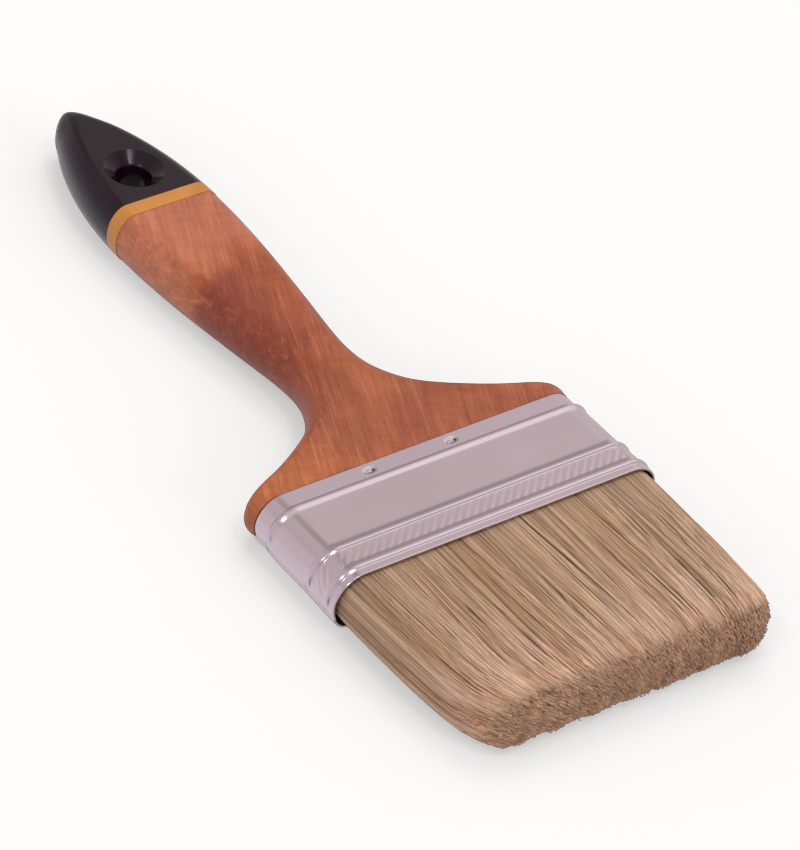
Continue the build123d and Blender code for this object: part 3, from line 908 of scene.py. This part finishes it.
    # paler and cooler toward the end
    colour = colour * (1 + smooth(0.45, 0.95, part)[..., None] * np.array([0.0, 0.02, 0.10]))
    return tubes(name, paths, radii, np.clip(colour, 0, 1), rng.uniform(0, 6.28, n))


def grow_tips(name, side, seed):
    """Short fine fibres that fill the trimmed face."""
    rng = np.random.default_rng(seed)
    n = TIP_COUNT
    across = rng.uniform(-1, 1, n)
    thick = rng.random(n)
    length = (trimmed_length(across, thick, side)
              + np.clip(rng.normal(0.0, 0.34, n), -0.8, 0.4) * (1 - 0.5 * smooth(0.75, 1.0, thick)))
    start = length - rng.uniform(3.0, 7.0, n)
    part = np.linspace(0, 1, 5)
    down = start[:, None] + (length - start)[:, None] * part[None, :]
    x = across[:, None] * half_width(across[:, None], down)
    z = thick[:, None] * half_thickness(down) * end_shape(across)[:, None]
    # splay, less at the narrow sides and the surface
    inside = (1 - 0.8 * smooth(0.93, 1.0, np.abs(across)))[:, None]
    x = (x + rng.normal(0, 0.34, n)[:, None] * part**1.4 * inside
         + rng.normal(0, 0.15, n)[:, None] * np.sin(part * 5.0 + rng.uniform(0, 6, n)[:, None]))
    z = z + (rng.normal(0, 0.30, n)[:, None] * part**1.4
             * (1 - 0.8 * smooth(0.80, 1.0, thick))[:, None])
    z = np.clip(z, 0.02, None)
    paths = np.stack([x, MOUTH - down, MID_Z + side * z], -1)
    radii = (rng.uniform(0.090, 0.135, n)[:, None]
             * np.interp(part, [0, 0.7, 1], [1, 0.95, 0.75])[None, :])
    # 0.9 mm cells of the face share a tone
    cells = rng.uniform(0.80, 1.16, (120, 12))
    colour = filament_colours(rng, n) * np.array([1.02, 0.94, 0.95])
    colour = colour * cells[((across + 1) * 49 / 0.9).astype(int) % 120,
                            (thick * 7.0 / 0.9).astype(int)][:, None]
    fade = np.interp(part, [0, 0.8, 1], [1.0, 0.95, 0.86])
    colour = colour[:, None, :] * fade[None, :, None]
    return tubes(name, paths, radii, np.clip(colour, 0, 1), rng.uniform(0, 6.28, n))


for number, (side, word) in enumerate(((1, "front"), (-1, "back"))):
    hair = grow_hair("bristle_hair_" + word, side, 11 + number, OUTER, FINE,
                     radius=(0.085, 0.142))
    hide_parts("bristles_" + word, "bristle_roots_" + word)
    core = grow_hair("bristle_core_" + word, side, 31 + number, CORE, COARSE,
                     radius=(0.14, 0.22), deep=True)
    tips = grow_tips("bristle_tips_" + word, side, 21 + number)
    for ob in (hair, core, tips):
        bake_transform(ob)


# -------------------------------------------------------------- stage, light
FLOOR_HALF, FLOOR_Z = 3000, -0.05


def build_floor():
    corners = [(x * FLOOR_HALF, y * FLOOR_HALF, FLOOR_Z)
               for x, y in ((-1, -1), (1, -1), (1, 1), (-1, 1))]
    ob = mesh_object("floor", corners, [(0, 1, 2, 3)], shade_smooth=False)
    mat = Material("floor_white")
    paint(ob, mat.set(Base_Color=(0.80, 0.79, 0.785), Roughness=0.9))
    ob.is_shadow_catcher = True
    ob.visible_glossy = False             # its own lamp would show in the metal
    ob.visible_diffuse = False
    return ob


floor = build_floor()

# Soft round cards in the surroundings: (direction of the centre, degrees from it
# where the card starts to fade, degrees where it ends, colour)
CARDS = [
    ((-0.75, 0.57, -0.10), 25, 45, (0.86, 0.77, 0.83)),
    ((-0.50, 0.56, -0.66), 22, 42, (0.93, 0.89, 0.98)),
    ((-0.93, -0.20, 0.10), 14, 34, (0.80, 0.76, 0.82)),
    ((0.242, 0.838, 0.488), 8, 20, (0.46, 0.42, 0.44)),
    ((0.517, 0.845, 0.132), 12, 24, (0.50, 0.45, 0.47)),
    ((0.802, 0.278, 0.526), 8, 19, (1.15, 1.08, 1.16)),
    ((0.45, -0.78, 0.42), 22, 38, (0.30, 0.27, 0.28)),
    ((0.517, 0.03, 0.855), 10, 19, (1.30, 1.27, 1.34)),
    ((0.08, 0.56, 0.82), 5, 11, (0.46, 0.41, 0.42)),
]


def build_world():
    """A soft gradient with cards, seen by everything but the camera."""
    scene.world = bpy.data.worlds.new("studio")
    world = Shader(scene.world)
    ray = world.node("TexCoord").outputs["Generated"]

    def dot(direction):
        return world.node("VectorMath", {0: ray, 1: Vector(direction).normalized()},
                          operation="DOT_PRODUCT").outputs["Value"]

    sky = world.mix(world.ease(dot((0.6, 0.5, 0.62)), start=-1.0, end=1.0),
                    (0.42, 0.39, 0.41), (0.80, 0.74, 0.765))
    for centre, inner, outer, colour in CARDS:
        mask = world.ease(dot(centre), start=math.cos(math.radians(outer)),
                          end=math.cos(math.radians(inner)))
        sky = world.mix(mask, sky, colour)
    lighting = world.node("Background", {0: sky, 1: 1.0})
    backdrop = world.node("Background", {0: (0.991, 0.982, 0.965)})
    to_camera = world.node("LightPath").outputs["Is Camera Ray"]
    choice = world.node("MixShader", {0: to_camera, 1: lighting.outputs[0],
                                      2: backdrop.outputs[0]})
    world.node("OutputWorld", {0: choice.outputs[0]})


build_world()

# Area lights: (name, direction, distance in m, (width, height) in m, power in W,
# colour, whether reflections show it)
LIGHTS = [
    ("key", (0.35, 0.35, 0.87), 1.3, (0.70, 0.55), 3.6, (1.0, 0.955, 0.94), False),
    ("left_fill", (-0.80, -0.45, 0.42), 1.2, (0.70, 0.5), 1.8, (1.0, 0.95, 0.98), False),
    ("front_fill", (0.22, -0.90, 0.38), 1.2, (0.80, 0.5), 4.3, (1.0, 0.95, 0.94), False),
    ("lamp_a", (-0.02, -0.38, 0.92), 1.3, (0.34, 0.14), 2.2, (0.98, 0.94, 1.0), True),
    ("lamp_b", (-0.58, -0.10, 0.80), 1.3, (0.30, 0.14), 2.0, (0.98, 0.94, 1.0), True),
]
LIGHT_TARGET = Vector((0, 0, 0.01))

for name, direction, distance, size, power, colour, glossy in LIGHTS:
    light = bpy.data.lights.new(name, "AREA")
    light.energy = power
    light.color = colour
    light.shape = "RECTANGLE"
    light.size, light.size_y = size
    lamp = link_object(name, light)
    toward = Vector(direction).normalized()
    lamp.location = LIGHT_TARGET + toward * distance
    lamp.rotation_mode = "QUATERNION"
    lamp.rotation_quaternion = toward.to_track_quat("Z", "Y")
    lamp.visible_glossy = glossy

# light for the floor alone, so that the shadows stay faint
floor_only = bpy.data.collections.new("floor_only")
floor_only.objects.link(floor)
sun = bpy.data.lights.new("floor_fill", "SUN")
sun.energy = 3.3
sun.color = (1.0, 0.72, 0.67)
sun.angle = 0.5
sun_object = link_object("floor_fill", sun)
sun_object.light_linking.receiver_collection = floor_only
sun_object.light_linking.blocker_collection = floor_only

# ------------------------------------------------------------------- camera
# The camera's own axes, and its place from the middle of the ferrule's mouth
CAMERA_AXES = (
    (0.7923767457686512, -0.5930762572394661, 0.14282732884118812),     # right
    (0.29024188762085157, 0.5724524530582411, 0.7668492913590563),      # up
    (-0.5365619623448603, -0.5661790724553748, 0.6257335842658631),     # backward
)
CAMERA_PLACE = (-668.3689, -662.6330 + MOUTH, 786.8594 + MID_Z)

camera_data = bpy.data.cameras.new("camera")
camera_data.sensor_fit = "AUTO"
camera_data.sensor_width = 36.0
camera_data.lens = 210.801727
camera_data.clip_start = 0.05
camera_data.clip_end = 50.0
camera = link_object("camera", camera_data)
camera.matrix_world = (Matrix.Translation(Vector(CAMERA_PLACE) * MM)
                       @ Matrix(CAMERA_AXES).transposed().to_4x4())
scene.camera = camera
